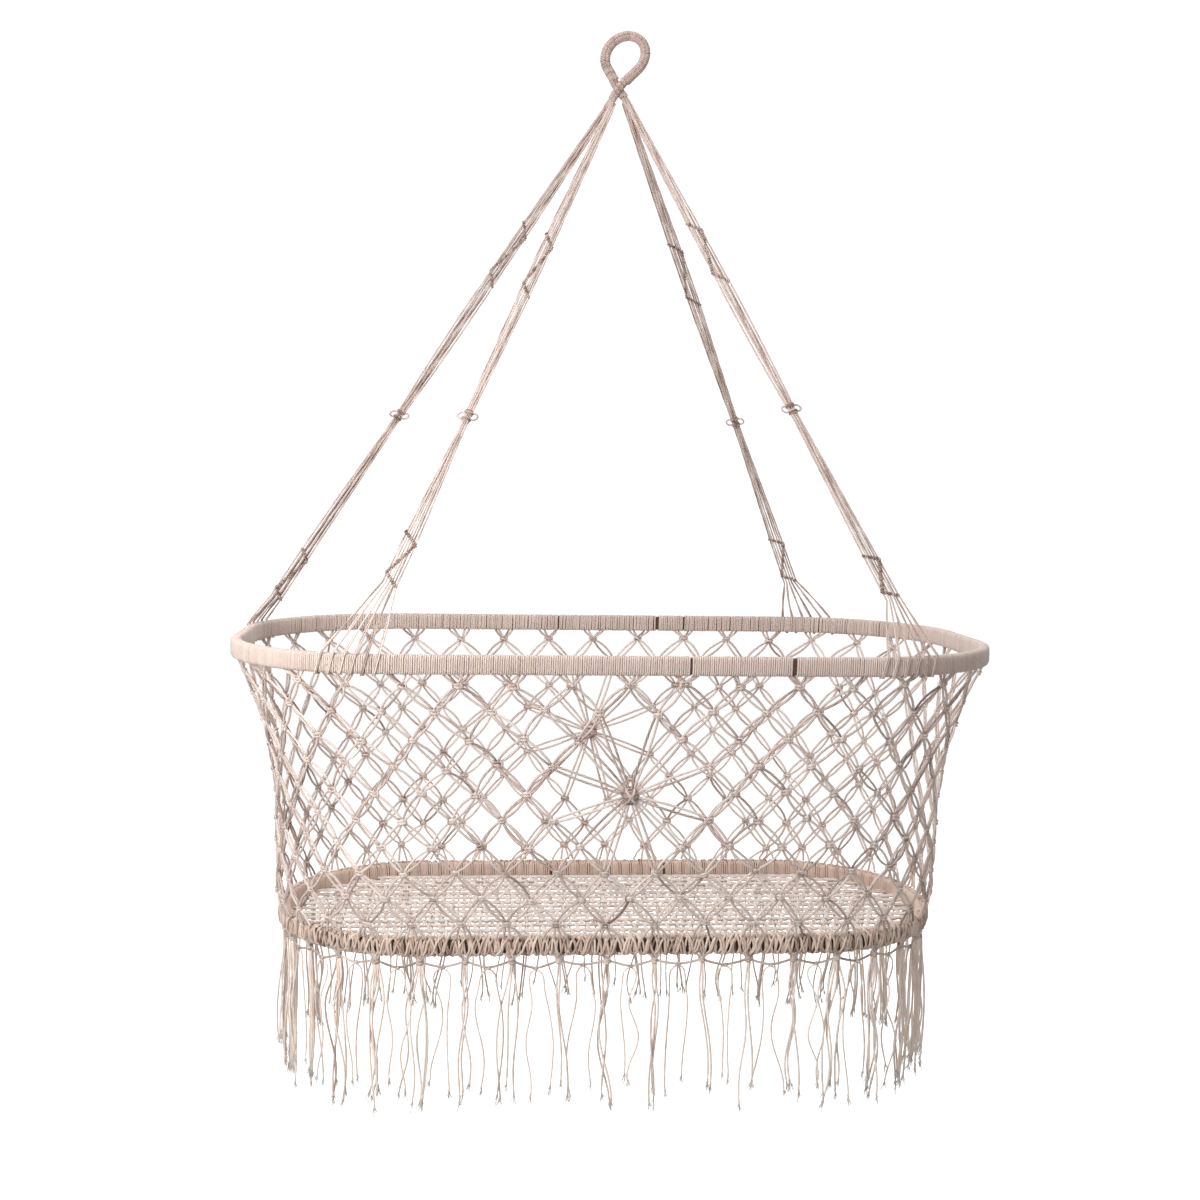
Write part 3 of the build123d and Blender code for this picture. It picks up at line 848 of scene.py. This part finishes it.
def square_knots(cords, spots):
    point, along, down, out = lattice_frames(spots)
    turn = np.array([wander[s][2] for s in spots]) * 0.16
    scale = 1 + np.array([wander[s][3] for s in spots]) * 0.07
    u = along * np.cos(turn)[:, None] + down * np.sin(turn)[:, None]
    v = down * np.cos(turn)[:, None] - along * np.sin(turn)[:, None]

    def local(*stops):
        """Points from stops in millimetres: along, down and out."""
        return [point + scale[:, None] * (u * a + v * b + out * c) / 1000 for a, b, c in stops]

    for stops in (
        ((-3.9, -1.5, -0.6), (-1.8, -2.2, 2.9), (1.8, -1.4, 2.9), (3.9, -0.4, -0.6)),
        ((-3.9, 0.5, -0.6), (-1.8, 1.5, 2.9), (1.8, 2.3, 2.9), (3.9, 1.6, -0.6)),
        ((-3.6, 1.2, 0.3), (-1.6, 0.2, -3.3), (1.6, -0.2, -3.3), (3.6, -1.2, 0.3)),
    ):
        cords.add(bezier(*local(*stops), 8), knot_bar_radius * scale[:, None], 6)
    for hand in (-1, 1):
        side = local((hand * 2.9, -3.0, 0.2), (hand * 5.0, -1.7, 0.9), (hand * 5.0, 1.7, 0.9),
                     (hand * 2.9, 3.0, 0.2))
        cords.add(bezier(*side, 8), knot_side_radius * scale[:, None], 6)


square_knots(knot_cords, lattice)

# Starbursts: twelve pairs of cords from the ring of knots round each gap to a button knot.
star_sides = ((-3, 0.5), (-2, 1), (-1, 1.5), (1, 1.5), (2, 1), (3, 0.5))
star_ring = [(row, hand * column) for row, column in star_sides for hand in (-1, 1)]
rosette_share = (net_top - (rosette_low[2] + rosette_high[2]) / 2) / net_height
net_pieces = []
for star, rosette in zip(star_columns, ("front_rosette", "back_rosette")):
    point, along, down, out = net_frame(star, rosette_share)
    ring = lattice_frames([(star_row + row, (star + place) % columns) for row, place in star_ring])
    towards = unit(point - ring[0])
    sideways = unit(np.cross(ring[3], towards))
    for hand in (-1, 1):
        a = ring[0] + towards * 0.0030 + sideways * hand * 0.0019
        b = point - towards * 0.0080 + sideways * hand * 0.0011 + out * 0.001
        push = sideways * (hand * rng.uniform(0.0016, 0.0030, len(a)))[:, None]
        rays = bezier(a, a + (b - a) * 0.3 + push, a + (b - a) * 0.7 + push * 0.8, b, 16)
        edge_cords.add(rays + smooth_noise(len(a), 16, 0.0003, (2, 4)), cord_radius, 6)
    # The button knot's cords are painted darker: painted shade in the knot.
    button = Cords()
    for k in range(7):
        across = (k - 3) / 3
        half = 0.0088 * sqrt(1 - (across * 0.80) ** 2)
        rise = 0.0115 * sqrt(1 - (across * 0.85) ** 2)
        tilt = rng.normal(0, 0.0009)
        bar = ((-half, -tilt, -0.001), (-half * 0.6, 0, rise * 0.62), (half * 0.6, 0, rise * 0.62),
               (half, tilt, -0.001))
        for face in (1, -1):
            stops = [point + along * a + down * (across * 0.0082 + b) + out * c * face
                     for a, b, c in bar]
            button.add(bezier(*stops, 13), 0.0018, 7, tone=0.2, shade=-0.3)
    bar = ((-0.005, -0.009, 0.001), (-0.004, -0.004, 0.0095), (0.004, 0.004, 0.0095),
           (0.005, 0.009, 0.001))
    for hand in (-1, 1):
        stops = [point + along * (a * hand) + down * b + out * c for a, b, c in bar]
        button.add(bezier(*stops, 13), 0.0016, 7, tone=0.2, shade=-0.1)
    net_pieces.append(button.build(f"{rosette}_knot", net_cotton, "net", rosette))

for part_name, cords in (("lattice", lattice_cords), ("edges", edge_cords), ("knots", knot_cords)):
    net_pieces.append(cords.build(f"side_net_{part_name}", net_cotton, "net", "side_net"))
for piece in net_pieces:
    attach(piece, "cradle")
    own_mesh(piece)

# ---- Rough knotting over the outside of the bottom hoop ----
rough = Cords()
hoop_total = rim_length(*bottom_middle)


def round_bottom(column):
    share = column / columns
    return share * hoop_total + end_crowding[1] * np.sin(4 * pi * share) + net_skew


# Four layers: turns to a column, their lean and its scatter, how far out they lie, cord radius.
layers = ((9, -0.0050, 0.0026, 0.0000, 0.00135), (7, 0.0100, 0.0030, 0.0010, 0.00140),
          (7, -0.0110, 0.0030, 0.0018, 0.00140), (5, 0.0140, 0.0036, 0.0024, 0.00130))
for per_column, lean, scatter, lift, size in layers:
    number = per_column * columns
    spot = round_bottom((np.arange(number) + rng.uniform(-0.45, 0.45, number)) / per_column)
    centre, along, out = rim_frame(spot, bottom_middle, bottom_level)
    half_out = bottom_depth / 2 - 0.0006 + lift + rng.uniform(0, 0.0010, number)
    half_up = bottom_height / 2 - 0.0008 + lift * 0.5 + rng.uniform(0, 0.0008, number)
    slant = rng.normal(lean, scatter, number)
    rough.add(turns(centre, along, out, upwards, half_out, half_up, slant, 13, 0.7, (-0.26, 0.26)),
              size * rng.normal(1, 0.08, (number, 1)), 6, tone=0.2)
piece = rough.build("bottom_hoop_knotting", knotting_cotton, "net")
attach(piece, "base")

# ---- Woven base: lines of three cords, tied to their neighbours in turn like brickwork ----
weave, ties = Cords(), Cords()
inner_plan = (base_high[0] - base_low[0], base_high[1] - base_low[1], bottom_corner - bottom_depth)
base_level = (base_low[2] + base_high[2]) / 2
line_count = 16
eye_pitch = 0.0135
line_pitch = inner_plan[1] / (line_count + 0.3)
straight_end = 0.050
line_radius, tie_radius = 0.00150, 0.00126


def half_base(y):
    """Half the base's length at a distance from its middle line."""
    inside = max(abs(y) - (inner_plan[1] / 2 - inner_plan[2]), 0)
    return inner_plan[0] / 2 - inner_plan[2] + sqrt(max(inner_plan[2] ** 2 - inside**2, 0))


line_y = (np.arange(line_count) - (line_count - 1) / 2) * line_pitch
for line, middle_y in enumerate(line_y):
    half = half_base(middle_y) + 0.003
    x = np.linspace(-half, half, 230)
    fade = smooth_step((half - np.abs(x)) / straight_end)
    sway = 0.0024 * np.cos(2 * pi * x / eye_pitch + pi * line) * fade
    for k in (-1, 0, 1):
        wave = 0.0006 * np.sin(2 * pi * x / 0.021 + rng.uniform(0, 6)) * fade
        y = middle_y + k * (0.0024 + 0.0012 * (1 - fade)) + sway * (1 - 0.25 * abs(k)) + wave
        z = base_level + 0.0005 * k * np.cos(2 * pi * x / eye_pitch)
        weave.add(at(x, y, z), line_radius, 5, tone=0.12)
for line in range(line_count - 1):
    low_y, high_y = line_y[line], line_y[line + 1]
    x = (np.arange(-30, 31) + (0.0 if line % 2 else 0.5)) * eye_pitch
    x = x[np.abs(x) < half_base(max(abs(low_y), abs(high_y))) - straight_end * 0.55]
    x = x + rng.normal(0, 0.0005, len(x))
    for hand in (-1, 1):
        wide, narrow = hand * 0.0019, hand * 0.0007
        stops = [at(x + dx, y, base_level + dz) for dx, y, dz in (
            (wide, low_y, 0.0004), (narrow, low_y + line_pitch * 0.22, 0.0012),
            (narrow, high_y - line_pitch * 0.22, 0.0012), (wide, high_y, 0.0004))]
        ties.add(bezier(*stops, 8), tie_radius, 5, tone=0.15)
for part_name, cords in (("lines", weave), ("ties", ties)):
    piece = cords.build(f"base_{part_name}", base_cotton, "net", "base_net")
    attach(piece, "base")

# ---- Gather knots, garland and fringe ----
gather_spot = round_bottom(np.arange(columns) + 0.5)
gather_point, gather_along, gather_out = rim_frame(gather_spot, bottom_middle, gather_high[2])
gather_point = gather_point + gather_out * 0.0015
gather_length = gather_high[2] - gather_low[2]
gather_radius, garland_radius, garland_sag = 0.00125, 0.00085, 0.0132
knots = Cords()
jitter = rng.normal(0, 1, (columns, 4))
for hand in (-1, -0.35, 0.35, 1):
    stops = ((9.5 * hand, 3.5, 2), (4 * hand, 4, -1), (1.8 * hand, 2, -4), (1.4 * hand, 0, -9))
    placed = [gather_point + gather_along * (a / 1000) + gather_out * (b / 1000)
              + upwards * (c / 1000) for a, b, c in stops]
    knots.add(bezier(*placed, 8), gather_radius, 6)
for turn_level in (-5.2, -7.4, -9.6):
    centre = gather_point + upwards * (turn_level / 1000 + jitter[:, :1] * 0.0004)
    half_out, half_along = 0.0026 + jitter[:, 1] * 0.0002, 0.0033 + jitter[:, 2] * 0.0003
    knots.add(turns(centre, upwards, gather_out, gather_along, half_out, half_along, 0.0016, 12),
              gather_radius, 6)
piece = knots.build("gather_knot_cords", net_cotton, "net", "gather_knots")
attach(piece, "base")

garland = Cords()
tie = gather_point - upwards * gather_length * 0.55
next_tie = np.roll(tie, -1, axis=0)
middle_point, middle_along, middle_out = rim_frame(
    round_bottom(np.arange(columns) + 1.0), bottom_middle, gather_high[2]
)
sag = garland_sag + rng.normal(0, 0.0014, columns)
secondary = middle_point + middle_out * 0.002 - upwards * sag[:, None]
for twin in (-0.0006, 0.0008):
    beside, low = upwards * twin, upwards * twin - upwards * 0.0012
    for a, b in ((tie, secondary), (secondary, next_tie)):
        stops = (a + beside, a + (b - a) * 0.3 + low, a + (b - a) * 0.7 + low, b + beside)
        garland.add(bezier(*stops, 9), garland_radius, 5)
for shift, half_out, half_up in ((0, 0.0017, 0.0019), (0.0012, 0.0016, 0.0018)):
    garland.add(turns(secondary + middle_along * shift, middle_along, middle_out, upwards,
                      half_out, half_up, 0.0022, 9), 0.0009, 5)
piece = garland.build("garland", net_cotton, "net", "garland_cord")
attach(piece, "base")

straight_half = (fringe_high[0] - fringe_low[0]) / 2
end_half = (left_end[1][1] - left_end[0][1]) / 2


def fringe_body(x, y):
    if abs(x) <= straight_half:
        return "front_fringe" if y < 0 else "back_fringe"
    if abs(y) <= end_half:
        return "left_fringe" if x < 0 else "right_fringe"
    return "base"


fringe_bodies = ("front_fringe", "back_fringe", "left_fringe", "right_fringe", "base")
fringe = {name: Cords() for name in fringe_bodies}
# How far the strands from knots, and those from the garland, end above the fringe's lowest level.
knot_clearance, garland_clearance = 0.026, 0.032
fringe_radius, garland_thinning = 0.00128, 0.84
garland_arch, bend_share = 0.008, 0.09  # a strand from the garland arches over this share first


def hang_strand(body, root, along, out, spread, drop, wave_seed, thin=1.0, arch=0.0):
    """One fringe cord: out of its knot, then down in slow waves, ending in a frayed tip."""
    local = np.random.default_rng(wave_seed)
    t = np.linspace(0, 1, 34)
    amplitude = local.uniform(0.0020, 0.0062)
    phase, waves = local.uniform(0, 2 * pi), local.uniform(0.6, 1.5)
    ease = smooth_step(t * 3)
    sway = amplitude * (np.sin(2 * pi * waves * t + phase) - sin(phase)) * ease
    rock = np.sin(2 * pi * waves * 0.8 * t + phase * 2) - sin(phase * 2)
    rock = 0.6 * amplitude * rock * ease
    sway_drift, rock_drift = local.normal(0, 0.005) * t**1.5, local.normal(0, 0.003) * t
    if arch:
        bend = np.minimum(t / bend_share, 1)
        side = spread * np.sin(bend * pi / 2)
        down = drop * t - arch * (1 - bend) * bend
    else:
        side = spread * smooth_step(t * 6)
        down = drop * t
    path = (root + along * (side + sway + sway_drift)[:, None] + out * (rock + rock_drift)[:, None]
            - upwards * down[:, None])
    radius = fringe_radius * thin * (1 + 0.06 * np.sin(40 * t + phase))
    radius = radius * (1 - 0.25 * smooth_step((t - 0.93) / 0.07))
    fringe[body].add(path, radius[None], 5, tone=0.16)
    tip, run = path[-1], unit(path[-1] - path[-3])
    fibres = 10
    aim = unit(run + local.normal(0, 0.20, (fibres, 3)))
    length = local.uniform(0.008, 0.017, (fibres, 1))
    start = tip - run * 0.003 + local.normal(0, 0.0005, (fibres, 3))
    end = start + aim * length + local.normal(0, 0.0008, (fibres, 3))
    fibre = bezier(start, start + run * length * 0.4, start + aim * length * 0.7, end, 5)
    taper = np.linspace(0.00055, 0.00024, 5)
    # The frayed fibres are painted lighter: painted light, making up for the shade among the fine
    # fibres.
    fringe[body].add(fibre, taper[None] * thin, 3, tone=0.2, shade=0.5)


seed = 1000
for k in range(columns):
    root = gather_point[k] - upwards * (gather_length - 0.0025)
    body = fringe_body(*gather_point[k][:2])
    number = int(rng.choice([2, 3] if body in ("front_fringe", "back_fringe") else [4, 5, 6]))
    for strand in range(number):
        seed += 1
        spread_out = (strand - (number - 1) / 2) * 0.0016
        drop = root[2] - fringe_low[2] - knot_clearance + rng.uniform(-0.016, 0.012)
        place = root + gather_along[k] * spread_out + gather_out[k] * rng.normal(0, 0.0008)
        wave_seed = seed - strand % 2 if rng.random() < 0.6 else seed  # many strands hang in pairs
        hang_strand(body, place, gather_along[k], gather_out[k], spread_out * 1.2, drop, wave_seed)
    root = secondary[k] - upwards * 0.0010
    body = fringe_body(*secondary[k][:2])
    for hand in (-1, 1):
        seed += 1
        drop = root[2] - fringe_low[2] - garland_clearance + rng.uniform(-0.018, 0.014)
        spread_out = hand * rng.uniform(0.007, 0.0105)
        hang_strand(body, root, middle_along[k], middle_out[k], spread_out, drop, seed,
                    garland_thinning, garland_arch)

for name, cords in fringe.items():
    run_name = name.split("_")[0]
    node_name = "fringe_corners" if name == "base" else f"fringe_{run_name}"
    piece = cords.build(f"fringe_cords_{run_name}", fringe_cotton, "fringe", node_name)
    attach(piece, name)
